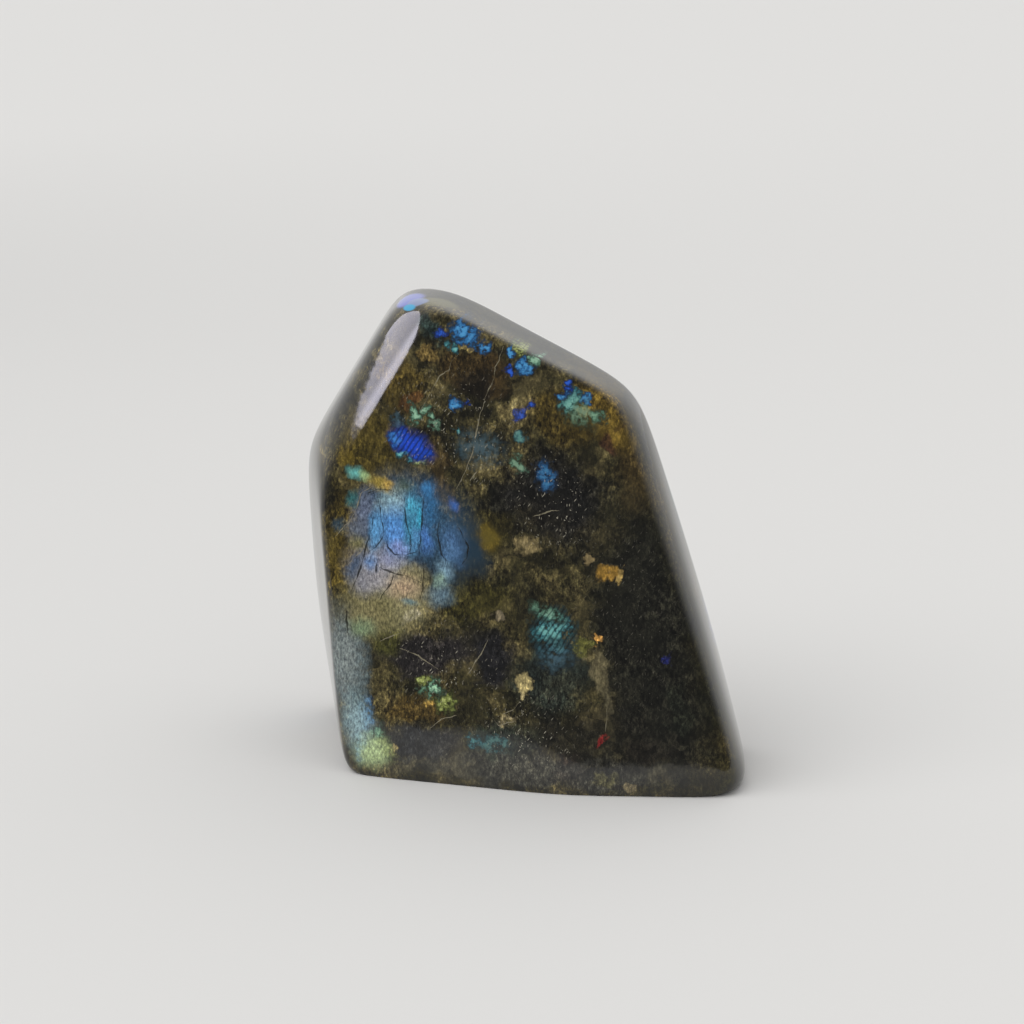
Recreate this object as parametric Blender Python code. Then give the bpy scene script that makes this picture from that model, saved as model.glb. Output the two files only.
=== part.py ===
"""Labradorite freeform: one stone, sawn flat underneath, ground to irregular faces and hand-polished.

Run with: blender --background --python part.py
Metres, +Z up. The broad polished front faces -Y and +X is to its right. The origin is the middle of
the box around the stone, on the surface that the sawn base stands on.
"""

import math

import bmesh
import bpy
from mathutils import Vector, noise

# The rough block that the stone is ground from: half its width, depth and height.
ROUGH_HALF = Vector((0.045, 0.023, 0.045))
SQUARES_ALONG_SIDE = 64

# The share of the triangles that is kept once the form is ground. The flat faces give up most of
# them, and the rounded edges keep theirs.
KEPT_TRIANGLES = 0.16

# Every ground face: the heading of its outward normal (0 is the front, 90 the right, 180 the back),
# how far that normal leans above the horizon, both in degrees, and how far out from the grinding
# centre the face lies, in metres.
GROUND_FACES = {
    "front": (-4.0, 7.0, 0.0162),
    "front_right": (9.0, 9.0, 0.0186),
    "front_low_left": (-34.0, -6.0, 0.0344),
    "apex_bevel": (-35.5, 23.0, 0.0307),
    "upper_left": (-78.5, 31.0, 0.0397),
    "left_shoulder": (-61.5, 16.0, 0.0356),
    "left": (-68.5, -3.0, 0.0319),
    "left_waist": (-74.5, -12.5, 0.0374),
    "left_foot": (-80.0, -29.0, 0.0544),
    "crown": (-57.5, 83.5, 0.0496),
    "long_top": (87.5, 64.5, 0.0404),
    "right_shoulder": (92.5, 39.5, 0.0418),
    "right_bulge": (91.5, 18.5, 0.0368),
    "right_chamfer": (60.0, 20.0, 0.0362),
    "right": (101.5, 16.5, 0.0376),
    "right_waist": (105.0, 11.5, 0.0405),
    "right_foot": (52.0, -24.5, 0.0622),
    "right_toe": (75.0, -45.5, 0.0768),
    "back_right": (170.0, 9.0, 0.0144),
    "back_left": (205.0, 6.0, 0.0302),
    "back_top": (184.0, 30.0, 0.0405),
    "base": (0.0, -90.0, 0.0406),
}

# A higher number leaves the edges between the ground faces sharper. At 26 the polishing wheel has
# rolled them over to a radius of about 3 to 4 mm.
EDGE_SHARPNESS = 26.0

# Hand polishing leaves the faces a little wavy.
WAVE_LENGTH = 0.024
WAVE_HEIGHT = 0.00022

# The saw cut takes this much off the lowest point, which makes the stone's one truly flat face.
# Points within the touch distance of the cut count as on it, and points this close together along
# its rim are made one.
SAW_CUT = 0.0006
SAW_TOUCH = 1e-6
SAW_RIM_MERGE = 0.00015

# Edges that turn by more than this are shaded as sharp: only the rim of the saw cut does.
SHARP_ABOVE = math.radians(30.0)

STONE_COLOUR = (0.020, 0.021, 0.013, 1.0)
STONE_ROUGHNESS = 0.08


def clear_scene():
    for thing in list(bpy.data.objects):
        bpy.data.objects.remove(thing, do_unlink=True)


def outward_normal(heading, lean):
    heading, lean = math.radians(heading), math.radians(lean)
    return Vector((
        math.sin(heading) * math.cos(lean),
        -math.cos(heading) * math.cos(lean),
        math.sin(lean),
    ))


def reach_along(direction, faces):
    """How far the ground stone extends from the grinding centre along a unit direction.

    Each face alone would stop the ray at its own distance. Their high power sum stops it a little
    short of the nearest one wherever two faces come close, which is what rounds the edges.
    """
    closeness = sum(
        max(0.0, normal.dot(direction) / distance) ** EDGE_SHARPNESS
        for normal, distance in faces
    )
    return closeness ** (-1.0 / EDGE_SHARPNESS)


def rough_block():
    """A cube whose sides are cut into a grid of squares, which suits a rounded shape."""
    block = bmesh.new()
    bmesh.ops.create_cube(block, size=2.0)
    bmesh.ops.subdivide_edges(
        block, edges=block.edges[:], cuts=SQUARES_ALONG_SIDE - 1, use_grid_fill=True
    )
    return block


def grind(block):
    """Slides each point of the block along its ray from the centre to the ground surface."""
    faces = [
        (outward_normal(heading, lean), distance)
        for heading, lean, distance in GROUND_FACES.values()
    ]
    for point in block.verts:
        # The tangent spaces the squares evenly over the rounded form.
        even = Vector(math.tan(math.pi / 4 * side) for side in point.co)
        direction = (even * ROUGH_HALF).normalized()
        surface = direction * reach_along(direction, faces)
        wave = noise.noise(surface / WAVE_LENGTH) * WAVE_HEIGHT
        point.co = surface + direction * wave


def thin_flat_faces(block):
    """Takes out the triangles that the flat faces don't need."""
    mesh = bpy.data.meshes.new("dense_form")
    block.to_mesh(mesh)
    dense = bpy.data.objects.new("dense_form", mesh)
    bpy.context.scene.collection.objects.link(dense)
    decimate = dense.modifiers.new("thin", "DECIMATE")
    decimate.ratio = KEPT_TRIANGLES
    evaluated = dense.evaluated_get(bpy.context.evaluated_depsgraph_get())
    block.clear()
    block.from_mesh(evaluated.to_mesh())
    evaluated.to_mesh_clear()
    bpy.data.objects.remove(dense)
    bpy.data.meshes.remove(mesh)


def saw_base_flat(block):
    """Cuts the bottom off level and closes the cut with one flat face."""
    lowest = min(point.co.z for point in block.verts)
    bmesh.ops.bisect_plane(
        block,
        geom=block.verts[:] + block.edges[:] + block.faces[:],
        dist=SAW_TOUCH,
        plane_co=(0.0, 0.0, lowest + SAW_CUT),
        plane_no=(0.0, 0.0, -1.0),
        clear_outer=True,
    )
    bmesh.ops.remove_doubles(block, verts=block.verts[:], dist=SAW_RIM_MERGE)
    rim = [edge for edge in block.edges if edge.is_boundary]
    bmesh.ops.edgeloop_fill(block, edges=rim)
    bmesh.ops.recalc_face_normals(block, faces=block.faces[:])


def stand_on_origin(block):
    """Moves the stone so that the origin is the middle of its box, on the surface it stands on."""
    low = Vector(min(point.co[axis] for point in block.verts) for axis in range(3))
    high = Vector(max(point.co[axis] for point in block.verts) for axis in range(3))
    offset = Vector(((low.x + high.x) / 2, (low.y + high.y) / 2, low.z))
    bmesh.ops.translate(block, verts=block.verts[:], vec=-offset)


def polished_labradorite():
    """Dark olive feldspar with a wet-looking polish. The blue flash is left to the finish."""
    material = bpy.data.materials.new("polished_labradorite")
    material.use_nodes = True
    shader = material.node_tree.nodes["Principled BSDF"]
    shader.inputs["Base Color"].default_value = STONE_COLOUR
    shader.inputs["Roughness"].default_value = STONE_ROUGHNESS
    shader.inputs["Metallic"].default_value = 0.0
    return material


def make_stone(collection):
    block = rough_block()
    grind(block)
    thin_flat_faces(block)
    saw_base_flat(block)
    stand_on_origin(block)
    mesh = bpy.data.meshes.new("stone")
    block.to_mesh(mesh)
    block.free()
    mesh.shade_smooth()
    mesh.set_sharp_from_angle(angle=SHARP_ABOVE)
    mesh.materials.append(polished_labradorite())
    stone = bpy.data.objects.new("stone", mesh)
    collection.objects.link(stone)
    return stone


clear_scene()
freeform = bpy.data.collections.new("labradorite_freeform")
bpy.context.scene.collection.children.link(freeform)
make_stone(freeform)
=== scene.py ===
"""Labradorite freeform, finished: one hand-polished stone on a pale studio table.

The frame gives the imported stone. Its finished surface is ground here from the same faces, fine enough
for clean reflections, and its minerals are drawn with nodes. Metres, +Z up, the front faces -Y.
"""

import math

import bmesh
import bpy
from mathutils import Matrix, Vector, noise


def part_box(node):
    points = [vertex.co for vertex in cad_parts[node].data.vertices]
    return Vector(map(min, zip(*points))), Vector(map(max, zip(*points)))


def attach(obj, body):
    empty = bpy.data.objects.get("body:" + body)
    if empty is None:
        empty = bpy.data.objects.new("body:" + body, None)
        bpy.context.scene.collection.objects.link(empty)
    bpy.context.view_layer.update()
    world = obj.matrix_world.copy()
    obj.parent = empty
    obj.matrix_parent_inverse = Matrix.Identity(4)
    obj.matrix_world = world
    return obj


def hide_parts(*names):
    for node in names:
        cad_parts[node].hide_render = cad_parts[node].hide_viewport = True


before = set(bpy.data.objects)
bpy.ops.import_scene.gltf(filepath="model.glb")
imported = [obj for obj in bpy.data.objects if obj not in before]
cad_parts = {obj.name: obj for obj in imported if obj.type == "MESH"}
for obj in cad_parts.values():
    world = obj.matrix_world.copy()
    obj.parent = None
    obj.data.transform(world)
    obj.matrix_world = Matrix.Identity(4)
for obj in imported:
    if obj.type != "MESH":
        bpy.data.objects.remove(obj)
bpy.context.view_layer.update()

# The ground stone
# One natural piece of labradorite, sawn flat underneath. Each face is ground on a wheel at the heading,
# lean and distance below, and hand polishing has rolled the edges over to a radius of 3 to 4 mm.

ROUGH_HALF = Vector((0.045, 0.023, 0.045))
SQUARES_ALONG_SIDE = 116
EDGE_SHARPNESS = 26.0
WAVE_LENGTH = 0.024
WAVE_HEIGHT = 0.00022
SAW_CUT = 0.0006
SAW_TOUCH = 1e-6
SAW_RIM_MERGE = 0.00008
SHARP_ABOVE = math.radians(30.0)

# Heading of the outward normal (0 front, 90 right), its lean above the horizon, metres from the centre.
GROUND_FACES = {
    "front": (-4.0, 7.0, 0.0162),
    "front_right": (9.0, 9.0, 0.0186),
    "front_low_left": (-34.0, -6.0, 0.0344),
    "apex_bevel": (-35.5, 23.0, 0.0307),
    "upper_left": (-78.5, 31.0, 0.0397),
    "left_shoulder": (-61.5, 16.0, 0.0356),
    "left": (-68.5, -3.0, 0.0319),
    "left_waist": (-74.5, -12.5, 0.0374),
    "left_foot": (-80.0, -29.0, 0.0544),
    "crown": (-57.5, 83.5, 0.0496),
    "long_top": (87.5, 64.5, 0.0404),
    "right_shoulder": (92.5, 39.5, 0.0418),
    "right_bulge": (91.5, 18.5, 0.0368),
    "right_chamfer": (60.0, 20.0, 0.0362),
    "right": (101.5, 16.5, 0.0376),
    "right_waist": (105.0, 11.5, 0.0405),
    "right_foot": (52.0, -24.5, 0.0622),
    "right_toe": (75.0, -45.5, 0.0768),
    "back_right": (170.0, 9.0, 0.0144),
    "back_left": (205.0, 6.0, 0.0302),
    "back_top": (184.0, 30.0, 0.0405),
    "base": (0.0, -90.0, 0.0406),
}


def heading_and_lean(heading, lean):
    """The unit vector that points along a heading and a lean above the horizon, both in degrees."""
    heading, lean = math.radians(heading), math.radians(lean)
    return Vector((
        math.sin(heading) * math.cos(lean),
        -math.cos(heading) * math.cos(lean),
        math.sin(lean),
    ))


def reach_along(direction, faces):
    """How far the ground stone extends along a unit direction, its edges rounded by the power sum."""
    closeness = sum(
        max(0.0, normal.dot(direction) / distance) ** EDGE_SHARPNESS
        for normal, distance in faces
    )
    return closeness ** (-1.0 / EDGE_SHARPNESS)


def grind_stone():
    """Slides a finely squared block to the ground faces, saws its base flat and stands it in place."""
    faces = [
        (heading_and_lean(heading, lean), distance)
        for heading, lean, distance in GROUND_FACES.values()
    ]
    block = bmesh.new()
    bmesh.ops.create_cube(block, size=2.0)
    bmesh.ops.subdivide_edges(
        block, edges=block.edges[:], cuts=SQUARES_ALONG_SIDE - 1, use_grid_fill=True
    )
    for point in block.verts:
        even = Vector(math.tan(math.pi / 4 * side) for side in point.co)
        direction = (even * ROUGH_HALF).normalized()
        surface = direction * reach_along(direction, faces)
        point.co = surface + direction * noise.noise(surface / WAVE_LENGTH) * WAVE_HEIGHT
    bmesh.ops.bisect_plane(
        block,
        geom=block.verts[:] + block.edges[:] + block.faces[:],
        dist=SAW_TOUCH,
        plane_co=(0.0, 0.0, min(point.co.z for point in block.verts) + SAW_CUT),
        plane_no=(0.0, 0.0, -1.0),
        clear_outer=True,
    )
    bmesh.ops.remove_doubles(block, verts=block.verts[:], dist=SAW_RIM_MERGE)
    bmesh.ops.edgeloop_fill(block, edges=[edge for edge in block.edges if edge.is_boundary])
    bmesh.ops.recalc_face_normals(block, faces=block.faces[:])
    cad_low, cad_high = (Vector(corner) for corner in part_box("stone"))
    low = Vector(min(point.co[axis] for point in block.verts) for axis in range(3))
    high = Vector(max(point.co[axis] for point in block.verts) for axis in range(3))
    shift = (cad_low + cad_high - low - high) / 2
    shift.z = cad_low.z - low.z
    bmesh.ops.translate(block, verts=block.verts[:], vec=shift)
    mesh = bpy.data.meshes.new("polished_stone")
    block.to_mesh(mesh)
    block.free()
    mesh.shade_smooth()
    mesh.set_sharp_from_angle(angle=SHARP_ABOVE)
    return mesh


stone = bpy.data.objects.new("polished_stone", grind_stone())
bpy.context.scene.collection.objects.link(stone)
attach(stone, "root")
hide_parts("stone")

# Polished labradorite
# A plagioclase feldspar, near black and olive brown in the body. Thin layers inside it flash blue,
# cyan and gold where they lie flat to the face. Tin-oxide polish leaves it glossy as wet glass.

FELDSPAR_IOR = 1.56
POLISH_ROUGHNESS = 0.07


def paint(code, strength=1.0):
    """An sRGB hex colour as the linear colour that the nodes need, with a strength as its alpha."""
    parts = (int(code[place:place + 2], 16) / 255 for place in (1, 3, 5))
    return (*(p / 12.92 if p <= 0.04045 else ((p + 0.055) / 1.055) ** 2.4 for p in parts), strength)


def node(tree, kind, sockets, output=0, stops=(), **settings):
    """Adds a node with its settings and its links, and gives back one of its outputs.

    Each socket, by name or number, takes a plain value or another node's output. Stops are the
    (place, colour) pairs of a colour ramp.
    """
    made = tree.nodes.new("ShaderNode" + kind)
    for name, value in settings.items():
        setattr(made, name, value)
    for name, value in sockets.items():
        if isinstance(value, bpy.types.NodeSocket):
            tree.links.new(value, made.inputs[name])
        else:
            made.inputs[name].default_value = value
    if stops:
        elements = made.color_ramp.elements
        elements.remove(elements[1])
        elements[0].position, elements[0].color = stops[0]
        for place, colour in stops[1:]:
            elements.new(place).color = colour
    return made.outputs[output]


labradorite = bpy.data.materials.new("polished_labradorite")
labradorite.use_nodes = True
tree = labradorite.node_tree
gloss = tree.nodes["Principled BSDF"]
stone.data.materials.append(labradorite)

# Every pattern is placed in millimetres on the stone. The front's own patterns lie flat on it, in
# millimetres across and up, and fade out where the surface turns back behind the front face. All
# fades, here and below, run along the same soft curve.
place = node(tree, "TexCoord", {}, output="Object")
mm = node(tree, "VectorMath", {0: place, "Scale": 1000.0}, operation="SCALE")
flat = node(tree, "Mapping", {"Vector": place, "Scale": (1000.0, 0.0, 1000.0),
                              "Rotation": (math.radians(-90.0), 0.0, 0.0)})
FRONT_PLANE_MM = 22.9
FRONT_FADE_MM = (5.0, 10.0)
S_CURVE = {"clamp": False, "interpolation_type": "SMOOTHSTEP"}
forward = node(tree, "VectorMath", {0: mm, 1: heading_and_lean(*GROUND_FACES["front"][:2])},
               output="Value", operation="DOT_PRODUCT")
on_front = node(tree, "MapRange", {"Value": forward, "From Min": FRONT_PLANE_MM - FRONT_FADE_MM[1],
                                   "From Max": FRONT_PLANE_MM - FRONT_FADE_MM[0]}, **S_CURVE)

# Crystal boundaries are never straight, so places are nudged by noise before anything is drawn there:
# widely for the clouded body, in small ragged steps for the flashes, less for the panes and hardly at
# all for the cracks. Each size and reach is in millimetres.
CLOUD_WANDER_MM = (7.0, 5.5)
RAGGED_WANDER_MM = (2.4, 2.6)
PANE_SHARE = 0.55
CRACK_SHARE = 0.16


def wobble(size, reach):
    """Vectors on the front that wander smoothly over a size, up to about a reach either way, in mm."""
    wander = node(tree, "TexNoise", {"Vector": flat, "Scale": 1 / size, "Detail": 5.0,
                                     "Roughness": 0.6}, output="Color")
    wander = node(tree, "SeparateColor", {"Color": wander})
    wander = node(tree, "CombineXYZ", {"X": wander, "Y": wander.node.outputs["Green"]})
    return node(tree, "VectorMath", {0: wander, 1: (2 * reach, 2 * reach, 0.0), 2: (-reach, -reach, 0.0)},
                operation="MULTIPLY_ADD")


clouded = node(tree, "VectorMath", {0: wobble(*CLOUD_WANDER_MM), 1: flat}, operation="ADD")
ragged_nudge = wobble(*RAGGED_WANDER_MM)
ragged = node(tree, "VectorMath", {0: flat, 1: ragged_nudge}, operation="ADD")
paned = node(tree, "VectorMath", {0: ragged_nudge, 1: (PANE_SHARE, PANE_SHARE, 0.0), 2: flat},
             operation="MULTIPLY_ADD")
nearly = node(tree, "VectorMath", {0: ragged_nudge, 1: (CRACK_SHARE, CRACK_SHARE, 0.0), 2: flat},
              operation="MULTIPLY_ADD")


def ellipse(places, middle, halves, tilt=0.0):
    """How close each place is to an ellipse's middle: 1 in the middle, 0 from its rim outwards."""
    inside = node(tree, "Mapping", {"Vector": places, "Location": middle, "Scale": halves,
                                    "Rotation": (0.0, 0.0, math.radians(tilt))}, vector_type="TEXTURE")
    return node(tree, "TexGradient", {"Vector": inside}, output="Fac", gradient_type="SPHERICAL")


def lay_patches(under, spots, places, edge):
    """Lays soft-edged spots over a colour, each one an ellipse on the front with its own tint.

    A spot holds its place across and up, half its length and width, its tilt, tint and strength. The
    edge is the share of its radius over which it fades in.
    """
    for across, up, half_length, half_width, tilt, tint, strength in spots.values():
        spot = ellipse(places, (across, up, 0.0), (half_length, half_width, 1.0), tilt)
        spot = node(tree, "MapRange", {"Value": spot, "From Max": edge, "To Max": strength}, **S_CURVE)
        under = node(tree, "MixRGB", {"Fac": spot, "Color1": under, "Color2": paint(tint)})
    return under


# The dark body of the front: near black olive, clouded with brown, amber, green and graphite. The
# clouds are placed one by one; each row holds its place across and up, half its length and width,
# all in millimetres, its tilt, tint and strength.
BODY_CLOUD_MM = 9.0
front = node(tree, "TexNoise", {"Vector": clouded, "Scale": 1 / BODY_CLOUD_MM, "Detail": 7.0,
                                "Roughness": 0.68})
front = node(tree, "ValToRGB", {"Fac": front}, stops=(
    (0.36, paint("#12120E")), (0.5, paint("#2C2919")), (0.62, paint("#544C32")), (0.72, paint("#7A7250"))))
CLOUDS = {
    "left_brown": (-30.0, 42.2, 5.5, 15.0, 0, "#463C19", 0.9),
    "left_olive": (-25.0, 62.2, 9.5, 8.0, 10, "#3C3415", 0.9),
    "upper_brown": (-20.0, 74.2, 6.5, 6.0, 40, "#43391B", 0.9),
    "upper_middle_brown": (-6.0, 77.2, 10.0, 4.5, -20, "#382C18", 0.8),
    "upper_rust": (-18.0, 70.8, 2.6, 1.6, 20, "#4A2A18", 0.5),
    "top_green_black": (-14.8, 84.2, 4.0, 2.4, 0, "#1D2A2A", 0.9),
    "top_black": (-5.6, 75.2, 4.5, 3.6, 0, "#17140F", 0.9),
    "brown_column": (-11.6, 56.2, 3.0, 9.0, 22, "#3E3420", 0.9),
    "middle_black": (0.5, 54.8, 5.5, 4.2, 0, "#141411", 0.95),
    "amber_right": (24.0, 60.2, 5.0, 11.0, 12, "#3C311A", 0.8),
    "amber_corner": (19.0, 69.2, 10.5, 6.0, -40, "#5A4A1E", 1.0),
    "amber_middle": (11.0, 68.2, 9.0, 5.5, -25, "#3F3517", 0.85),
    "speckled_black": (10.0, 54.2, 12.5, 11.0, -30, "#141414", 0.95),
    "right_black": (30.0, 30.2, 15.0, 33.0, 15, "#191913", 1.0),
    "middle_olive": (-2.0, 48.2, 5.5, 5.0, -40, "#2E2A15", 0.9),
    "lower_olive": (-5.5, 35.2, 10.0, 5.0, 0, "#302D14", 0.9),
    "graphite": (-13.5, 24.8, 13.0, 5.0, 14, "#201E1F", 1.0),
    "graphite_right": (-1.0, 24.2, 4.8, 6.0, 20, "#1A1A1C", 1.0),
    "teal_shadow": (10.0, 22.2, 9.0, 8.0, 20, "#1F2725", 0.8),
    "green_below_pane": (-22.0, 27.2, 4.0, 6.0, 0, "#3A3A1C", 0.9),
    "bottom_brown": (-16.0, 13.8, 7.5, 5.0, 0, "#3C3119", 0.9),
    "bottom_dark": (-14.0, 7.2, 9.5, 3.6, 0, "#202226", 0.9),
    "bottom_green": (1.0, 9.2, 9.0, 5.0, 0, "#26302A", 0.8),
    "dark_red": (28.0, 7.8, 4.2, 3.4, 0, "#2E1415", 0.4),
    "dark_red_left": (13.3, 5.2, 2.8, 4.2, -20, "#321A16", 0.7),
    "dark_green": (33.5, 16.2, 3.0, 6.0, 15, "#14281C", 0.45),
    "red_brown_corner": (19.5, 64.8, 2.0, 3.4, 0, "#2E1A16", 0.8),
    "right_shade": (30.0, 24.0, 14.0, 34.0, 12, "#181814", 0.8),
    "bottom_shade": (18.0, 9.0, 22.0, 9.0, 0, "#1C1B17", 0.75),
    # Painted reflection: a grey band across the very bottom of the front stands for the pale card mirrored
    # in the rounded foot.
    "bottom_painted_reflection": (6.0, 3.8, 34.0, 3.4, 0, "#3A3A36", 0.6),
}
CLOUD_EDGE = 0.55
front = lay_patches(front, CLOUDS, clouded, CLOUD_EDGE)

# Crystals
# Inside, the body is broken into angular crystals about two millimetres across, some darker and some
# lighter. Pale, golden and rusty grains of other minerals are caught between them.
CRYSTAL_MM = 1.9
CRYSTAL_CONTRAST = 0.6
crystals = node(tree, "TexVoronoi", {"Vector": paned, "Scale": 1 / CRYSTAL_MM}, output="Color",
                voronoi_dimensions="2D")
crystals = node(tree, "SeparateColor", {"Color": crystals})
crystals = node(tree, "ValToRGB", {"Fac": crystals}, stops=(
    (0.1, (0.42, 0.42, 0.44, 1.0)), (0.5, (0.95, 0.95, 0.95, 1.0)), (0.9, (1.75, 1.7, 1.6, 1.0))))
front = node(tree, "MixRGB", {"Fac": CRYSTAL_CONTRAST, "Color1": front, "Color2": crystals},
             blend_type="MULTIPLY")
INCLUSIONS = {
    "gold_crystal": (20.2, 40.9, 2.6, 2.1, -4, "#7A5E28", 1),
    "gold_crystal_edge": (22.0, 40.2, 0.7, 2.0, -12, "#A0874F", 0.9),
    "tan_spot": (16.2, 43.0, 1.1, 1.0, 0, "#786949", 0.95),
    "grain_cluster": (4.9, 46.0, 3.0, 2.0, 0, "#6E6244", 0.9),
    "olive_gold": (-2.3, 46.6, 1.9, 3.0, 25, "#5A4B19", 0.8),
    "arrowhead": (5.0, 20.2, 1.9, 2.3, 0, "#96895F", 1),
    "arrowhead_tip": (4.6, 18.1, 0.8, 1.2, -20, "#A2946C", 1),
    "pebble": (0.4, 32.5, 1.4, 1.3, 0, "#6E6450", 0.95),
    "grey_pebble": (-16.9, 31.4, 2.2, 1.7, 30, "#78736A", 0.9),
    "orange_grain": (18.3, 29.2, 1.1, 1.0, 30, "#B98A48", 1),
    "green_grain": (15.6, 27.8, 2.3, 2.0, 0, "#55552A", 0.85),
    "grey_plume": (18.9, 23.1, 1.9, 5.0, 5, "#5F5841", 0.85),
    "plume_tail": (20.5, 18.1, 1.2, 3.2, 0, "#4A4534", 0.8),
    "foot_fleck": (-19.8, 5.8, 0.8, 1.8, 0, "#82744C", 0.9),
    "base_tan": (25.0, 1.9, 1.6, 1.1, 0, "#6A6048", 0.8),
    "base_olive": (20.5, 3.2, 3.5, 1.8, 0, "#4A472E", 0.7),
    "red_streak": (19.5, 10.6, 0.8, 2.2, -20, "#6E1E1E", 0.9),
    "tan_low_v": (2.0, 13.1, 2.2, 0.8, 10, "#7C7154", 0.8),
    "gold_flecks_top": (-14.9, 79.8, 2.3, 1.9, 0, "#6E5C34", 0.6),
    "tan_ring": (-7.7, 81.2, 1.8, 0.9, 0, "#7C6E44", 0.8),
    "left_gold_top": (-30.4, 60.0, 2.2, 3.0, 0, "#5E501E", 0.6),
    "foot_orange": (-26.1, 8.6, 0.7, 0.9, 0, "#B07A48", 0.9),
    "lime_orange": (-12.6, 15.2, 1.1, 0.9, 0, "#A88A48", 0.85),
    "dark_blue_dot": (30.8, 25.9, 1.1, 1.1, 0, "#151A4A", 0.9),
}
INCLUSION_EDGE = 0.45
front = lay_patches(front, INCLUSIONS, ragged, INCLUSION_EDGE)

# Grain
# Cleavage flakes under a millimetre across catch the light between dark ones, and give the body its
# crumbly look under the polish. They lean to the left, and are sandy in some zones and almost clear
# in others.
GRAIN_MM = 0.9
GRAIN_LEAN = math.radians(-35.0)
GRAIN_SQUEEZE = (1.5, 1.0, 0.8)
SANDY_ZONE_MM = 9.0
leaning = node(tree, "Mapping", {"Vector": mm, "Rotation": (0.0, GRAIN_LEAN, 0.0), "Scale": GRAIN_SQUEEZE})
grain = node(tree, "TexNoise", {"Vector": leaning, "Scale": 1 / GRAIN_MM, "Detail": 5.0, "Roughness": 0.8})
sandy = node(tree, "TexNoise", {"Vector": mm, "Scale": 1 / SANDY_ZONE_MM, "Detail": 2.0})
sandy = node(tree, "MapRange", {"Value": sandy, "From Min": 0.42, "From Max": 0.6}, **S_CURVE)
clear_grain = node(tree, "ValToRGB", {"Fac": grain}, stops=(
    (0.32, (0.5, 0.5, 0.52, 1.0)), (0.5, (1.1, 1.1, 1.08, 1.0)), (0.66, (2.4, 2.35, 2.25, 1.0))))
sandy_grain = node(tree, "ValToRGB", {"Fac": grain}, stops=(
    (0.36, (0.14, 0.14, 0.15, 1.0)), (0.5, (1.05, 1.04, 1.02, 1.0)), (0.58, (2.3, 2.25, 2.1, 1.0)),
    (0.66, (5.0, 4.9, 4.5, 1.0))))
grain_light = node(tree, "MixRGB", {"Fac": sandy, "Color1": clear_grain, "Color2": sandy_grain})
front = node(tree, "MixRGB", {"Fac": 1.0, "Color1": front, "Color2": grain_light},
             blend_type="MULTIPLY")

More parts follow.
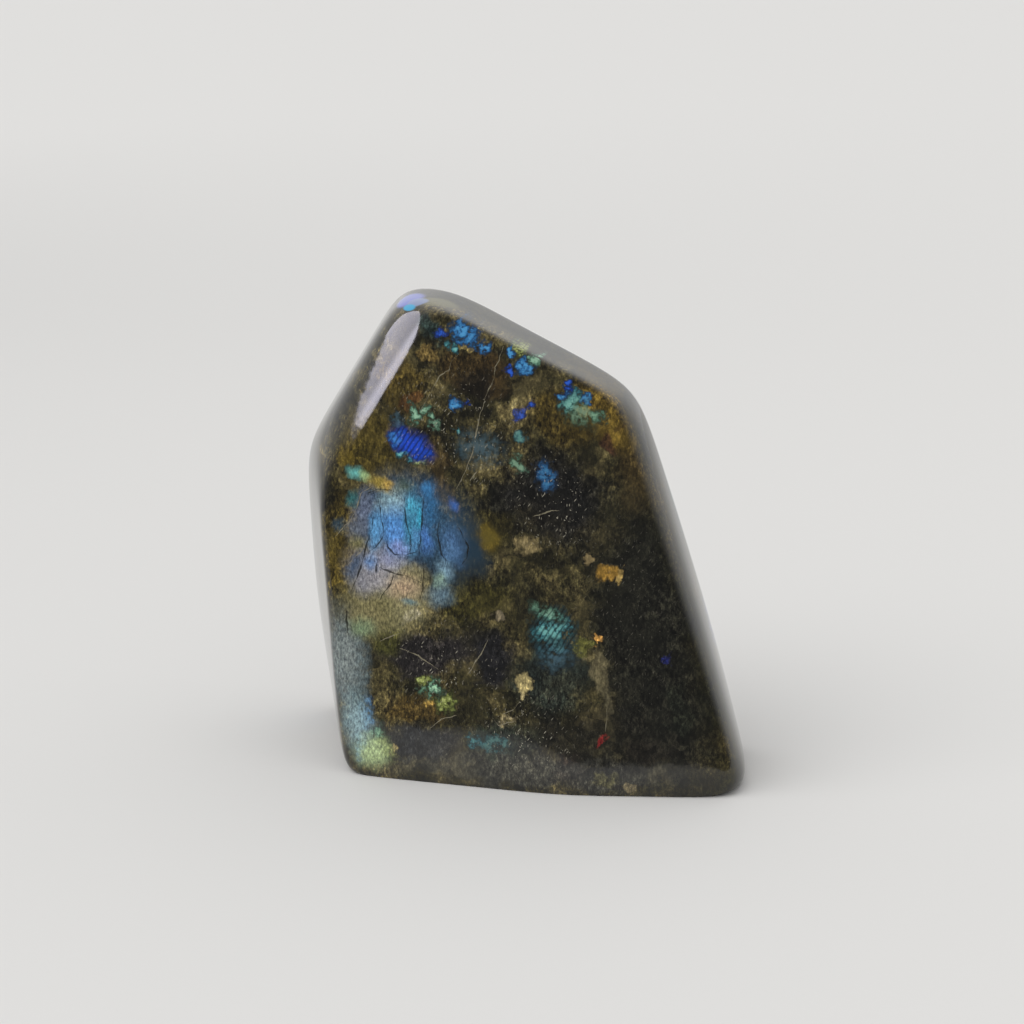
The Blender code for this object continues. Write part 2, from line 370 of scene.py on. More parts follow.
# Flashes
# The play of colour: patches where thin layers lie flat to the face. Each palette runs from the
# patch's rim to its middle, as the layers' spacing changes. The patches are tattered at the size of
# the crystals' own steps, and each row is like a cloud's, with a palette for its tint.
PALETTES = {
    "royal": ("#14224A", "#1C3F94", "#2C5CC4"),
    "azure": ("#1A3048", "#2C6498", "#4C92C4"),
    "cyan": ("#22393C", "#39727A", "#70B0AC"),
    "mint": ("#303C30", "#567E68", "#90B89A"),
    "lime": ("#3A3E22", "#70793F", "#A8B06C"),
    "gold": ("#3A3010", "#7A6630", "#A89050"),
    "slate": ("#1E2A30", "#30464F", "#466270"),
}
FLASHES = {
    "top_blue": (-7.9, 83.5, 3.6, 1.9, -22, "azure", 1.0),
    "top_blue_low_left": (-10.1, 81.3, 1.3, 1.1, 0, "cyan", 1.0),
    "top_blue_right": (-4.7, 81.2, 2.0, 1.1, 0, "azure", 1.0),
    "top_deep_left": (-12.3, 83.0, 1.3, 1.1, 0, "royal", 0.9),
    "edge_lime": (2.1, 81.0, 2.0, 1.0, -30, "lime", 0.9),
    "edge_blue": (0.7, 80.8, 0.9, 0.8, 0, "azure", 1.0),
    "corner_blue": (3.5, 78.2, 1.8, 2.0, 0, "azure", 1.0),
    "corner_green": (5.0, 79.2, 1.3, 1.2, 0, "mint", 0.9),
    "corner_dot": (0.6, 77.5, 1.1, 0.9, 0, "royal", 1.0),
    "sea_green": (11.6, 72.0, 2.2, 2.6, 0, "cyan", 1.0),
    "sea_green_blue": (10.5, 73.2, 1.3, 1.1, 0, "azure", 1.0),
    "sea_dot_top": (11.3, 74.5, 1.0, 1.0, 0, "royal", 1.0),
    "sea_dot_right": (14.4, 72.3, 1.0, 0.9, 0, "azure", 1.0),
    "sea_tail": (16.8, 69.3, 1.7, 1.3, -20, "mint", 0.9),
    "sea_haze": (13.6, 69.8, 4.6, 2.6, -30, "mint", 0.45),
    "blue_bean": (-9.3, 71.0, 1.6, 1.4, 0, "azure", 1.0),
    "blue_bean_dot": (-7.0, 70.7, 1.1, 0.8, 0, "royal", 1.0),
    "dot_a": (4.5, 71.0, 1.0, 0.9, 0, "royal", 0.9),
    "dot_b": (2.8, 69.5, 1.3, 1.2, 0, "royal", 0.8),
    "mint_a": (-17.3, 68.8, 1.3, 2.4, 15, "mint", 1.0),
    "mint_b": (-14.8, 69.0, 1.3, 1.5, 0, "mint", 0.9),
    "mint_c": (-13.2, 66.8, 1.5, 1.3, 0, "mint", 0.6),
    "haze_blue_small": (-20.3, 66.8, 1.8, 1.4, 0, "slate", 0.7),
    "slate_haze_top": (-4.4, 63.0, 5.2, 4.0, 0, "slate", 0.6),
    "cyan_tail": (-18.9, 61.0, 1.8, 1.5, 0, "cyan", 1.0),
    "yellow_tail": (-16.1, 60.0, 1.7, 1.2, -30, "lime", 1.0),
    "deep_blue": (-17.6, 63.0, 4.8, 2.2, -29, "royal", 1.0),
    "deep_blue_tip": (-20.5, 64.0, 1.7, 1.5, 0, "azure", 0.9),
    "cyan_small": (-8.8, 65.5, 1.1, 0.6, 0, "cyan", 0.9),
    "teal_green_middle": (3.0, 65.3, 1.4, 1.2, 0, "cyan", 0.5),
    "pale_teal": (2.8, 60.1, 1.3, 2.1, 35, "mint", 0.6),
    "teardrop": (7.9, 58.6, 2.0, 3.3, 25, "azure", 0.6),
    "teal_ribbed": (10.1, 30.1, 4.4, 5.0, 0, "cyan", 0.9),
    "teal_ribbed_green": (9.1, 33.6, 3.6, 1.9, -20, "mint", 0.6),
    "teal_slate": (11.0, 25.8, 4.0, 3.4, 0, "slate", 0.7),
    "lime_patch": (-9.9, 15.6, 2.3, 2.1, -30, "lime", 1.0),
    "lime_teal": (-12.7, 17.9, 2.3, 2.4, -40, "mint", 0.9),
    "lime_top": (-14.5, 19.4, 1.3, 1.1, 0, "lime", 0.9),
    "foot_blue": (-25.9, 11.4, 2.0, 4.2, -10, "azure", 0.7),
    "foot_teal": (-23.5, 7.0, 1.8, 3.8, -15, "mint", 0.8),
    "foot_lime": (-22.8, 5.5, 3.8, 2.6, -15, "lime", 0.8),
    "foot_blue_low": (-26.4, 5.8, 1.6, 2.4, 0, "azure", 0.8),
    "base_teal": (-4.0, 9.2, 1.8, 1.2, 0, "cyan", 0.7),
    "base_teal_tail": (-0.3, 8.8, 4.4, 1.6, 0, "cyan", 0.3),
    # Partly a slate flash and partly a painted reflection of the bright room in the rounded lower left
    # edge.
    "left_flash_and_painted_reflection": (-29.0, 21.2, 4.2, 9.5, 0, "slate", 0.8),
}
FLASH_STOPS = (0.04, 0.26, 0.5, 0.85)
FLASH_SPREAD = 1.2
TATTER_MM = 1.1
tatter = node(tree, "TexNoise", {"Vector": mm, "Scale": 1 / TATTER_MM, "Detail": 5.0, "Roughness": 0.7})
tatter = node(tree, "MapRange", {"Value": tatter, "From Min": 0.26, "From Max": 0.7, "To Max": 1.5},
              **S_CURVE)
flash_grain = node(tree, "MapRange", {"Value": grain, "From Min": 0.3, "From Max": 0.7,
                                      "To Min": 0.45, "To Max": 1.5}, **S_CURVE)
for across, up, half_length, half_width, tilt, palette, strength in FLASHES.values():
    rim, middle, heart = PALETTES[palette]
    halves = (FLASH_SPREAD * half_length, FLASH_SPREAD * half_width, 1.0)
    spot = ellipse(ragged, (across, up, 0.0), halves, tilt)
    spot = node(tree, "Math", {0: spot, 1: tatter}, operation="MULTIPLY")
    colours = (paint(rim, 0.0), paint(rim, strength), paint(middle, strength), paint(heart, strength))
    flash = node(tree, "ValToRGB", {"Fac": spot}, stops=tuple(zip(FLASH_STOPS, colours)))
    front = node(tree, "MixRGB", {"Fac": flash.node.outputs["Alpha"], "Color1": front, "Color2": flash})

# Panes
# One large window of clean layers on the left, blue in the middle, lilac and rose below it and tan at
# its foot. Beside the left edge and at its foot, a pale haze is partly pale flash and partly a painted
# reflection of the bright room in the rounded lower left edge. Its colours melt into each other, and a
# short upright fibre breaks them up.
PANES = {
    "wide_blue": (-19.0, 48.5, 12.0, 12.0, 0, "#456A90", 1.0),
    "wide_right": (-10.0, 46.0, 8.0, 12.0, 0, "#2A4860", 0.9),
    "wide_lilac": (-23.5, 40.0, 9.0, 7.0, 0, "#80828E", 1.0),
    "wide_tan": (-21.0, 34.5, 11.0, 9.0, 0, "#A29C78", 1.0),
    "deep_blue": (-17.6, 63.0, 6.2, 3.4, -29, "#1E48C4", 1.0),
    # The next two are pale haze on the lower left: partly pale flash, partly a painted reflection of the
    # bright room in the rounded edge.
    "left_flash_and_painted_reflection": (-29.5, 22.5, 6.0, 14.0, 6, "#767E7E", 1.0),
    "foot_flash_and_painted_reflection": (-27.0, 10.0, 4.6, 9.0, 10, "#7E98A0", 1.0),
    "foot_lime": (-24.0, 5.0, 5.4, 4.6, 0, "#A0B284", 1.0),
    "tan_under": (-23.7, 32.8, 10.4, 8.5, 0, "#5E5836", 0.85),
    "tan_low": (-25.8, 30.4, 5.4, 5.9, 0, "#7A7352", 0.9),
    "green_low": (-26.4, 28.3, 4.1, 3.0, 0, "#6E8468", 0.8),
    "lilac_grey": (-23.8, 37.9, 6.3, 4.9, 0, "#8F8C92", 1),
    "grey_left": (-26.6, 36.9, 3.5, 4.6, 0, "#7C7C86", 0.9),
    "tan_right": (-16.8, 39.0, 3.8, 3.0, 0, "#7E7656", 0.95),
    "rose": (-18.5, 36.3, 5.2, 3.9, 0, "#A08A72", 1),
    "lilac": (-21.5, 41.3, 3.8, 3.0, 0, "#8388A4", 1),
    "blue_low_left": (-25.1, 40.4, 2.5, 2.6, 0, "#5A7CAC", 0.9),
    "left_blue": (-28.1, 39.6, 1.9, 4.9, -25, "#3C4E68", 0.9),
    "grey_top_left": (-26.6, 50.0, 3.3, 6.2, -12, "#5E6880", 0.95),
    "grey_low": (-27.8, 46.5, 2.8, 3.6, -25, "#5A6270", 0.9),
    "tan_knee": (-27.5, 43.9, 2.8, 2.3, 0, "#6E6A48", 0.9),
    "strip": (-24.1, 46.6, 2.1, 6.2, -8, "#5890C0", 1),
    "top_pale": (-20.9, 51.8, 4.4, 4.3, 0, "#8AA6AC", 1),
    "heart": (-20.4, 47.4, 4.3, 6.9, 5, "#4A80BC", 1),
    "heart_bright": (-20.4, 45.8, 2.8, 3.6, 0, "#5688C8", 0.9),
    "heart_foot": (-19.3, 43.9, 3.5, 2.0, 0, "#7C8CC0", 0.9),
    "right_blue": (-17.3, 48.8, 2.4, 8.9, 0, "#3C7C9C", 1),
    "right_cyan": (-17.4, 51.6, 1.6, 2.1, 0, "#4AA0C0", 1),
    "right_cyan_low": (-15.8, 49.7, 1.0, 4.3, 0, "#3A9CBE", 1),
    "right_foot": (-16.4, 45.7, 1.3, 3.6, 0, "#4E84B4", 0.9),
    "far": (-13.7, 51.7, 2.5, 6.9, 0, "#2E5E88", 1),
    "far_top": (-14.3, 54.8, 1.9, 2.1, 0, "#3A78AE", 0.9),
    "far_foot": (-14.3, 45.6, 1.9, 3.8, 10, "#4470B0", 1),
    "small_blue": (-9.2, 52.2, 1.5, 1.8, 20, "#3A62A8", 0.95),
    "oval": (-9.0, 45.0, 3.9, 5.6, 15, "#44648C", 1),
    "oval_heart": (-9.6, 43.6, 2.2, 3.0, 15, "#4E7096", 0.8),
    "shadow": (-5.0, 43.9, 3.8, 6.6, 25, "#1E3444", 0.9),
    "pale_low": (-10.8, 39.9, 2.5, 3.6, 0, "#6E8CA0", 0.95),
    "pale_green": (-11.4, 38.2, 2.2, 2.3, 0, "#7C9484", 0.8),
    "pale_foot": (-11.3, 35.4, 4.1, 3.3, 0, "#5E7686", 0.85),
    "smear": (-17.2, 33.7, 2.8, 1.0, 0, "#4E6E78", 0.8),
    "olive_gold_right": (-2.2, 46.7, 2.8, 3.9, 25, "#5E5220", 0.9),
    "band_cyan": (-28.4, 56.9, 2.4, 1.6, -20, "#62A8A4", 1),
    "band_mint": (-26.5, 56.4, 1.9, 1.3, -20, "#96BE8E", 1),
    "band_gold": (-23.7, 55.5, 4.7, 1.8, -18, "#8A7838", 1),
    "band_gold_heart": (-22.0, 55.3, 1.6, 1.1, -20, "#A88C48", 1),
    "teal_left": (-28.8, 52.1, 1.6, 2.6, -30, "#2E6468", 0.8),
    "slate_left": (-31.2, 47.1, 2.5, 2.3, 0, "#2C4658", 0.8),
    "green_slate_top": (-18.7, 55.1, 2.8, 2.3, 0, "#4A5A50", 0.8),
}
PANE_EDGE = 1.0
PANE_ZONE_MIDDLE = (-22.0, 30.0, 0.0)
PANE_ZONE_HALVES = (19.0, 40.0, 1.0)
FIBRE_MM = (0.4, 0.9)
front = lay_patches(front, PANES, paned, PANE_EDGE)
pane_zone = ellipse(clouded, PANE_ZONE_MIDDLE, PANE_ZONE_HALVES)
pane_zone = node(tree, "MapRange", {"Value": pane_zone, "From Max": 0.4}, **S_CURVE)
fibre = node(tree, "Mapping", {"Vector": flat, "Scale": (*FIBRE_MM, 1.0)}, vector_type="TEXTURE")
fibre = node(tree, "TexNoise", {"Vector": fibre, "Scale": 1.0, "Detail": 5.0, "Roughness": 0.75})
fibre = node(tree, "ValToRGB", {"Fac": fibre}, stops=(
    (0.34, (0.3, 0.31, 0.34, 1.0)), (0.5, (1.05, 1.05, 1.02, 1.0)), (0.66, (2.1, 2.08, 1.95, 1.0))))
front = node(tree, "MixRGB", {"Fac": pane_zone, "Color1": front, "Color2": fibre},
             blend_type="MULTIPLY")

# Two of the flashes are cut across by fine dark ribs, twin planes that rise to the right. The wave
# texture turns once in about a third of a unit, which its scale makes up for.
RIB_PITCH_MM = 0.85
RIB_RISE = math.radians(33.0)
ONE_WAVE_A_UNIT = 0.31
RIB_EDGE = 0.33
RIBBED = {
    "deep_blue": (-17.6, 63.0, 5.4, 3.0, -29),
    "teal": (10.1, 30.6, 5.5, 6.0, 0),
}
ribs = node(tree, "Mapping", {"Vector": nearly, "Rotation": (0.0, 0.0, RIB_RISE),
                              "Scale": (1 / RIB_PITCH_MM, 1 / RIB_PITCH_MM, 1.0)})
ribs = node(tree, "TexWave", {"Vector": ribs, "Scale": ONE_WAVE_A_UNIT, "Distortion": 1.2,
                              "Detail": 1.0}, output="Fac")
ribs = node(tree, "MapRange", {"Value": ribs, "From Min": 0.5, "From Max": 0.1, "To Max": 0.62}, **S_CURVE)
for across, up, half_length, half_width, tilt in RIBBED.values():
    spot = ellipse(flat, (across, up, 0.0), (half_length, half_width, 1.0), tilt)
    spot = node(tree, "MapRange", {"Value": spot, "From Max": RIB_EDGE}, **S_CURVE)
    spot = node(tree, "Math", {0: spot, 1: ribs}, operation="MULTIPLY")
    front = node(tree, "MixRGB", {"Fac": spot, "Color1": front, "Color2": paint("#0E1618")})

# Cracks
# Old cleavage cracks inside the stone: dark splits between the panes, and others healed with tan
# mineral. Each one is a thin line through points in millimetres across and up on the front.
DARK_CRACKS = {
    "main_split": ((-24.5, 50.0), (-24.6, 48.3), (-24.9, 46.7), (-25.4, 45.5), (-26.0, 43.6),
        (-26.4, 41.7), (-26.8, 40.1), (-27.6, 37.8), (-28.5, 35.7), (-29.0, 33.8), (-29.5, 32.4)),
    "looped_split": ((-23.9, 53.2), (-23.5, 51.0), (-23.1, 48.4), (-22.7, 46.9), (-22.6, 45.9),
        (-23.1, 44.8), (-24.1, 43.5), (-25.8, 42.2)),
    "second_split": ((-18.6, 52.9), (-18.5, 50.4), (-18.1, 48.0), (-17.4, 46.0), (-17.3, 44.0),
        (-17.5, 43.0)),
    "thick_split": ((-15.0, 53.6), (-15.1, 51.2), (-15.2, 49.0), (-15.4, 46.6), (-15.6, 44.3),
        (-15.5, 42.9)),
    "lower_split": ((-15.0, 42.6), (-14.7, 40.8), (-14.7, 38.6), (-14.8, 36.1), (-15.2, 34.3)),
    "rose_left": ((-20.4, 38.5), (-21.0, 36.9), (-22.3, 35.0), (-23.1, 33.5)),
    "lilac_split": ((-23.5, 43.0), (-23.7, 40.9), (-24.0, 38.9), (-24.3, 36.8)),
    "rose_top": ((-23.6, 39.8), (-20.6, 38.9), (-18.1, 38.5), (-14.9, 37.5)),
    "under_heart": ((-22.5, 45.7), (-21.8, 43.7), (-20.3, 42.4), (-18.4, 42.5), (-16.1, 43.3)),
    "oval_left": ((-11.8, 49.2), (-12.2, 47.4), (-11.9, 45.4), (-11.3, 43.2), (-10.2, 41.9), (-8.7, 41.7)),
    "oval_right": ((-8.1, 48.3), (-7.2, 46.3), (-6.3, 44.8), (-6.3, 42.8), (-7.5, 41.5)),
    "low_left_split": ((-29.7, 31.3), (-29.6, 29.3), (-29.4, 26.9)),
    "pane_arch": ((-25.8, 53.5), (-23.7, 54.3), (-21.4, 54.4), (-19.5, 53.5)),
}
TAN_CRACKS = {
    "tan_long": ((-0.7, 81.5), (-1.3, 78.8), (-2.1, 77.8), (-2.0, 75.7), (-3.2, 73.5), (-4.4, 69.8),
        (-4.9, 67.3), (-5.8, 62.2), (-7.1, 58.5), (-8.9, 55.1)),
    "tan_short": ((-8.8, 80.0), (-10.1, 78.5), (-10.6, 76.8), (-12.5, 75.7), (-14.1, 72.5), (-15.8, 69.3)),
    "long_scratch": ((5.7, 51.0), (8.2, 51.9), (10.6, 52.4)),
    "steep_scratch": ((-6.2, 56.9), (-5.0, 58.5), (-3.6, 59.8)),
    "tan_lower": ((-2.0, 28.2), (-3.2, 25.2), (-5.8, 20.9)),
    "arrow_tail": ((4.4, 17.1), (3.0, 15.4), (1.2, 14.2)),
    "plume_crack": ((20.2, 16.6), (20.5, 14.7), (20.3, 12.2)),
    "v_line": ((-1.0, 13.8), (0.4, 12.2), (3.7, 13.2)),
    "graphite_line": ((-19.0, 24.9), (-15.5, 23.9), (-11.4, 21.6)),
    "graphite_step": ((-23.0, 25.9), (-20.9, 26.9), (-19.0, 27.8)),
    "lime_foot": ((-12.8, 10.4), (-10.5, 12.4), (-7.6, 13.4)),
    "gold_curve": ((-24.8, 54.9), (-27.1, 53.2), (-28.1, 50.5), (-29.1, 48.0), (-31.0, 46.1),
        (-32.1, 44.8)),
    "pale_knee": ((-25.8, 45.4), (-26.3, 43.8), (-26.7, 42.7), (-27.9, 41.6), (-29.6, 39.6)),
}


def crack_mask(cracks, half_width):
    """Where the cracks of one group run: 1 on them, 0 beside them. Each one thins out to its ends.

    A crack is drawn in a square of its own length: a ramp holds its course as a height, and the line
    is where the place's own height comes within the width of it.
    """
    mask = None
    for points in cracks.values():
        start = Vector(points[0])
        along = Vector(points[-1]) - start
        length = along.length
        along.normalize()
        aside = Vector((-along.y, along.x))
        course = [(reach.dot(along) / length, (0.0, 0.0, 0.0, 0.5 + reach.dot(aside) / length))
                  for reach in (Vector(point) - start for point in points)]
        corner = start - aside * length / 2
        line = node(tree, "Mapping", {"Vector": nearly, "Location": (corner.x, corner.y, 0.0),
                                      "Rotation": (0.0, 0.0, math.atan2(along.y, along.x)),
                                      "Scale": (length, length, 1.0)}, vector_type="TEXTURE")
        run = node(tree, "TexGradient", {"Vector": line}, output="Fac", gradient_type="LINEAR")
        taper = node(tree, "Math", {0: run, 1: 0.5}, operation="PINGPONG")
        taper = node(tree, "Math", {0: taper, 1: BLUNT_END}, operation="POWER")
        taper = node(tree, "Math", {0: taper, 1: thickness}, operation="MULTIPLY")
        width = node(tree, "Math", {0: taper, 1: FULL_WIDTH * half_width / length}, operation="MULTIPLY")
        run = node(tree, "ValToRGB", {"Fac": run}, output="Alpha", stops=course)
        line = node(tree, "VectorMath", {0: line, 1: (0.0, 1.0, 0.0)}, output="Value",
                    operation="DOT_PRODUCT")
        line = node(tree, "Math", {0: line, 1: run, 2: width}, operation="COMPARE")
        mask = line if mask is None else node(tree, "Math", {0: mask, 1: line}, operation="MAXIMUM")
    return mask


BLUNT_END = 0.35
FULL_WIDTH = 1.3
SWELL_MM = 2.5
thickness = node(tree, "TexNoise", {"Vector": flat, "Scale": 1 / SWELL_MM, "Detail": 1.0})
thickness = node(tree, "MapRange", {"Value": thickness, "From Min": 0.35, "From Max": 0.65, "To Min": 0.25,
                                    "To Max": 1.4}, **S_CURVE)
DARK_CRACK_HALF_MM = 0.15
DARK_CRACK_STRENGTH = 0.8
TAN_CRACK_HALF_MM = 0.09
dark_cracks = crack_mask(DARK_CRACKS, DARK_CRACK_HALF_MM)
dark_cracks = node(tree, "Math", {0: dark_cracks, 1: DARK_CRACK_STRENGTH}, operation="MULTIPLY")
front = node(tree, "MixRGB", {"Fac": dark_cracks, "Color1": front, "Color2": paint("#15140F")})
tan_cracks = crack_mask(TAN_CRACKS, TAN_CRACK_HALF_MM)
tan_cracks = node(tree, "Math", {0: tan_cracks, 1: flash_grain}, operation="MULTIPLY")
front = node(tree, "MixRGB", {"Fac": tan_cracks, "Color1": front, "Color2": paint("#7C755F")})

# Sparks
# Dust-sized flakes and short cleavage steps that glint through the polish, thick in some zones. They
# are drawn at 0.2 mm and up, the finest that one picture of the whole stone shows. Each kind has the
# size of the cells that hold one spark each in millimetres, the degrees that it rises, and how rare
# it is.
SPARKS = {
    "long_step": ((3.0, 0.55), 52.0, 0.74),
    "short_step": ((2.2, 0.45), 92.107, 0.76),
    "falling_step": ((1.4, 0.6), -28.648, 0.8),
    "dust": ((0.7, 0.5), 57.296, 0.86),
}
SPARK_COLOUR = paint("#ACA694")
SPARK_ZONES = {
    "black_middle": (9.0, 53.0, 10.0, 13.0, 0, "#FFFFFF", 1.0),
    "graphite": (-10.0, 23.0, 16.0, 11.0, -20, "#FFFFFF", 1.0),
    "lower_middle": (6.0, 12.0, 14.0, 11.0, 0, "#FFFFFF", 1.0),
    "upper": (-10.0, 66.0, 18.0, 16.0, 0, "#FFFFFF", 0.8),
    "right": (22.0, 35.0, 14.0, 30.0, 10, "#FFFFFF", 0.2),
}
SPARK_EDGE = 0.8
spark_zone = lay_patches(paint("#000000"), SPARK_ZONES, clouded, SPARK_EDGE)
spark_zone = node(tree, "SeparateColor", {"Color": spark_zone})
for size, rise, rarity in SPARKS.values():
    spark = node(tree, "Mapping", {"Vector": flat, "Rotation": (0.0, 0.0, math.radians(rise)),
                                   "Scale": (*size, 1.0)}, vector_type="TEXTURE")
    spark = node(tree, "TexVoronoi", {"Vector": spark, "Scale": 1.0}, voronoi_dimensions="2D")
    chance = node(tree, "SeparateColor", {"Color": spark.node.outputs["Color"]})
    chance = node(tree, "MapRange", {"Value": chance, "From Min": rarity, "From Max": 1.0, "To Max": 1.1},
                  **S_CURVE)
    spark = node(tree, "MapRange", {"Value": spark, "From Min": 0.15, "From Max": 0.05}, **S_CURVE)
    spark = node(tree, "Math", {0: spark, 1: chance}, operation="MULTIPLY")
    spark = node(tree, "Math", {0: spark, 1: spark_zone}, operation="MULTIPLY")
    front = node(tree, "MixRGB", {"Fac": spark, "Color1": front, "Color2": SPARK_COLOUR})

# The sides and the back
# The same feldspar, seen across the layers: darker and quieter, with single crystals that flash blue,
# teal or gold where one happens to lie flat to the surface. They start well behind the front.
BACK_CLOUD_MM = 13.0
BACK_CRYSTAL_MM = 6.5
BACK_FLASH_FADE_MM = (6.0, -2.0)
BACK_FLASH_STRENGTH = 0.7
around = node(tree, "TexNoise", {"Vector": mm, "Scale": 1 / BACK_CLOUD_MM, "Detail": 4.0, "Roughness": 0.6})
around = node(tree, "ValToRGB", {"Fac": around}, stops=(
    (0.36, paint("#17170F")), (0.46, paint("#24230F")), (0.54, paint("#2E2914")), (0.66, paint("#453B1E"))))
cell_place = node(tree, "VectorMath", {0: mm, 1: ragged_nudge}, operation="ADD")
cell = node(tree, "TexVoronoi", {"Vector": cell_place, "Scale": 1 / BACK_CRYSTAL_MM}, output="Color")
cell = node(tree, "SeparateColor", {"Color": cell})
cell = node(tree, "ValToRGB", {"Fac": cell}, stops=(
    (0.0, paint("#17170F", 0.0)), (0.66, paint("#1E2A30", 0.55)), (0.74, paint("#143FA0", 0.75)),
    (0.79, paint("#26608E", 0.85)), (0.84, paint("#35808C", 0.7)), (0.89, paint("#4C6A58", 0.65)),
    (0.93, paint("#6A5A2A", 0.7)), (0.97, paint("#17170F", 0.0))))
cell.node.color_ramp.interpolation = "CONSTANT"
cell_strength = node(tree, "MapRange", {"Value": forward, "From Min": BACK_FLASH_FADE_MM[0],
                                        "From Max": BACK_FLASH_FADE_MM[1],
                                        "To Max": BACK_FLASH_STRENGTH}, **S_CURVE)
cell_strength = node(tree, "Math", {0: cell.node.outputs["Alpha"], 1: cell_strength},
                     operation="MULTIPLY")
cell_strength = node(tree, "Math", {0: cell_strength, 1: tatter}, operation="MULTIPLY")
around = node(tree, "MixRGB", {"Fac": cell_strength, "Color1": around, "Color2": cell})
around = node(tree, "MixRGB", {"Fac": 1.0, "Color1": around, "Color2": grain_light},
              blend_type="MULTIPLY")
skin = node(tree, "MixRGB", {"Fac": on_front, "Color1": around, "Color2": front})

# The crown's own flash, lilac with a cyan lower edge, wraps over the apex. Each row holds the middle
# and the half sizes of a rounded lump of space in millimetres, its tint and strength.
CROWN_FLASH = {
    "gold_right": (-14.5, -4.5, 88.0, 4.6, 3.5, 2.6, "#6E6A44", 0.7),
    "lilac": (-21.8, -2.0, 88.0, 4.6, 5.0, 2.0, "#6C76C4", 1.0),
    "lilac_right": (-18.6, -5.0, 88.0, 2.6, 2.6, 1.8, "#7E8CB4", 0.9),
    "cyan_edge": (-19.4, -6.0, 86.9, 2.4, 2.0, 0.7, "#2E9CC8", 1.0),
}
CROWN_EDGE = 0.35
for x, y, z, half_x, half_y, half_z, tint, strength in CROWN_FLASH.values():
    spot = ellipse(mm, (x, y, z), (half_x, half_y, half_z))
    spot = node(tree, "MapRange", {"Value": spot, "From Max": CROWN_EDGE, "To Max": strength}, **S_CURVE)
    skin = node(tree, "MixRGB", {"Fac": spot, "Color1": skin, "Color2": paint(tint)})

# Polish
# Wet-looking over the feldspar. The healed cracks stand a little rough, and polishing by hand leaves
# the surface faintly wavy.
CRACK_ROUGHNESS = 0.3
POLISH_WAVE_MM = 3.5
WAVE_BUMP_MM = 0.02
roughness = node(tree, "MapRange", {"Value": tan_cracks, "To Min": POLISH_ROUGHNESS,
                                    "To Max": CRACK_ROUGHNESS}, **S_CURVE)
waves = node(tree, "TexNoise", {"Vector": mm, "Scale": 1 / POLISH_WAVE_MM, "Detail": 2.0})
waves = node(tree, "Bump", {"Height": waves, "Distance": WAVE_BUMP_MM / 1000, "Strength": 1.0})
tree.links.new(waves, gloss.inputs["Normal"])
tree.links.new(roughness, gloss.inputs["Roughness"])
tree.links.new(skin, gloss.inputs["Base Color"])
gloss.inputs["IOR"].default_value = FELDSPAR_IOR

# Studio table
# Sheets of pale matt card on a table: uncoated board, with a soft even white and no shine. The stone
# mirrors the card under and behind it. The sheet from a hand's width ahead of it isn't mirrored, so
# that the polished front mirrors the dark room there and keeps its deep blacks.

TABLE_REACH = 6.0
FRONT_EDGE = -0.128
CARD_ROUGHNESS = 0.9
CARD_SHEEN = 0.1
matt_card = bpy.data.materials.new("matt_card")
matt_card.use_nodes = True
card_shader = matt_card.node_tree.nodes["Principled BSDF"]
card_shader.inputs["Base Color"].default_value = paint("#DEDDDB")
card_shader.inputs["Roughness"].default_value = CARD_ROUGHNESS
card_shader.inputs["Specular IOR Level"].default_value = CARD_SHEEN


def flat_sheet(name, corners, material):
    """One flat sheet between corner points."""
    mesh = bpy.data.meshes.new(name)
    mesh.from_pydata(corners, [], [tuple(range(len(corners)))])
    mesh.materials.append(material)
    sheet = bpy.data.objects.new(name, mesh)
    bpy.context.scene.collection.objects.link(sheet)
    return sheet


for name, near, far in (("table_card", FRONT_EDGE, TABLE_REACH),
                        ("front_card", -TABLE_REACH, FRONT_EDGE)):
    card = flat_sheet(name, [(-TABLE_REACH, near, 0.0), (TABLE_REACH, near, 0.0),
                             (TABLE_REACH, far, 0.0), (-TABLE_REACH, far, 0.0)], matt_card)
    card.visible_glossy = name == "table_card"

# Studio light
# Soft daylight from high on the left in a bright white room, whose walls are brightest behind and on
# the left and dark behind the camera. A softbox low on the left, thin white diffuser cloth over a
# lamp, draws the streak beside the apex and is brightest where the lamp sits.

RIDGE = Vector((-0.022, -0.010, 0.076))
SOFTBOX_DISTANCE = 1.2
SOFTBOX_CORNERS = ((-44.0, 10.5), (-60.0, 14.5), (-112.0, 16.5), (-118.0, 42.0), (-103.0, 42.0),
                   (-60.0, 23.0), (-50.0, 16.0))
SOFTBOX_LAMP = heading_and_lean(-66.0, 20.0)
LAMP_REACH = (1.08, 1.245)
LAMP_GLOW = (5.0, 10.5)
softbox_cloth = bpy.data.materials.new("softbox_cloth")
softbox_cloth.use_nodes = True
cloth = softbox_cloth.node_tree
cloth_shader = cloth.nodes["Principled BSDF"]
cloth_shader.inputs["Base Color"].default_value = (0.0, 0.0, 0.0, 1.0)
cloth_shader.inputs["Emission Color"].default_value = paint("#F2EFFF")
glow = node(cloth, "TexCoord", {}, output="Object")
glow = node(cloth, "VectorMath", {0: glow, 1: SOFTBOX_LAMP}, output="Value", operation="DOT_PRODUCT")
glow = node(cloth, "MapRange", {"Value": glow, "From Min": LAMP_REACH[0], "From Max": LAMP_REACH[1],
                                "To Min": LAMP_GLOW[0], "To Max": LAMP_GLOW[1]}, **S_CURVE)
cloth.links.new(glow, cloth_shader.inputs["Emission Strength"])
softbox = flat_sheet("softbox", [RIDGE + heading_and_lean(*corner) * SOFTBOX_DISTANCE
                                 for corner in SOFTBOX_CORNERS], softbox_cloth)
softbox.visible_diffuse = False
softbox.visible_camera = False

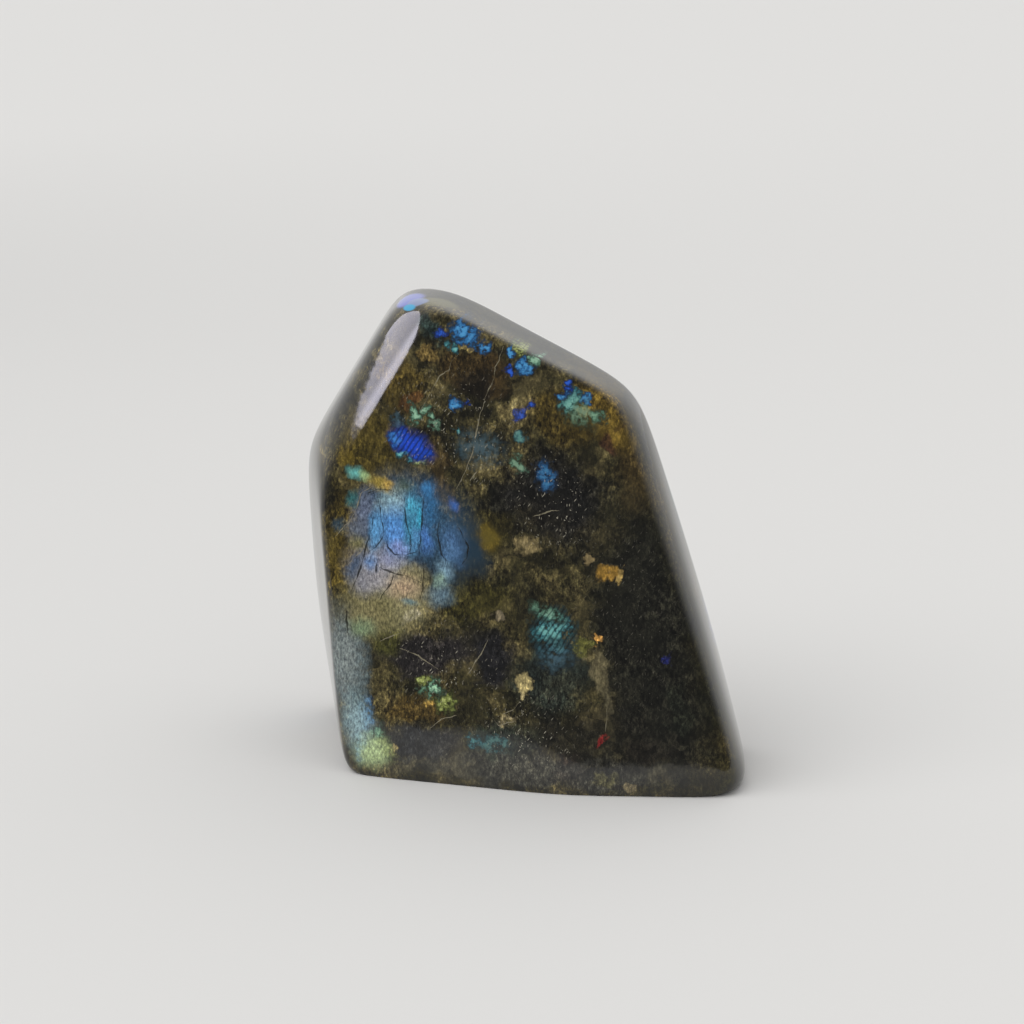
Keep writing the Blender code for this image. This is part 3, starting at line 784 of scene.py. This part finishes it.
DAYLIGHT_STRENGTH = 1.0
WINDOW_SPREAD = math.radians(50.0)
DAYLIGHT_FROM = heading_and_lean(-50.0, 48.0)
daylight = bpy.data.lights.new("soft_daylight", "SUN")
daylight.energy = DAYLIGHT_STRENGTH
daylight.angle = WINDOW_SPREAD
daylight_holder = bpy.data.objects.new("soft_daylight", daylight)
daylight_holder.rotation_euler = DAYLIGHT_FROM.to_track_quat("Z", "Y").to_euler()
daylight_holder.visible_glossy = False
bpy.context.scene.collection.objects.link(daylight_holder)

walls = bpy.data.worlds.new("studio_walls")
bpy.context.scene.world = walls
walls.use_nodes = True
sky = walls.node_tree
ROOM_LIGHT = (0.80, 0.80, 0.80, 1.0)
SEEN_WALL = paint("#DEDEDE")
BRIGHT_SIDE = (-0.25, 1.0, 0.0)
DARK_TO_BRIGHT = (-0.5, 1.0)
MIRRORED_WALL = (0.16, 0.9)
outward = node(sky, "TexCoord", {}, output="Generated")
across_room = node(sky, "VectorMath", {0: outward, 1: BRIGHT_SIDE}, output="Value",
                   operation="DOT_PRODUCT")
wall_light = node(sky, "MapRange", {"Value": across_room,
                                    "From Min": DARK_TO_BRIGHT[0], "From Max": DARK_TO_BRIGHT[1],
                                    "To Min": MIRRORED_WALL[0], "To Max": MIRRORED_WALL[1]}, **S_CURVE)
wall_light = node(sky, "CombineColor", {"Red": wall_light, "Green": wall_light, "Blue": wall_light})
lighting = node(sky, "LightPath", {}, output="Is Diffuse Ray")
wall_colour = node(sky, "MixRGB", {"Fac": lighting, "Color1": wall_light, "Color2": ROOM_LIGHT})
wall_colour = node(sky, "MixRGB", {"Fac": lighting.node.outputs["Is Camera Ray"], "Color1": wall_colour,
                                   "Color2": SEEN_WALL})
sky.links.new(wall_colour, sky.nodes["Background"].inputs["Color"])

# Camera
# The photograph's own view: a short telephoto from a little right of the front, looking down slightly.

CAMERA_TARGET = Vector((-0.00165, 0.0, 0.0474))
CAMERA_DISTANCE = 0.459
CAMERA_SIDE = heading_and_lean(12.0, 14.0)
lens = bpy.data.cameras.new("camera")
lens.lens = 85.0
lens.sensor_width = 36.0
lens.clip_start = 0.01
camera = bpy.data.objects.new("camera", lens)
camera.location = CAMERA_TARGET + CAMERA_SIDE * CAMERA_DISTANCE
camera.rotation_euler = CAMERA_SIDE.to_track_quat("Z", "Y").to_euler()
bpy.context.scene.collection.objects.link(camera)
bpy.context.scene.camera = camera
bpy.context.scene.view_settings.view_transform = "Standard"
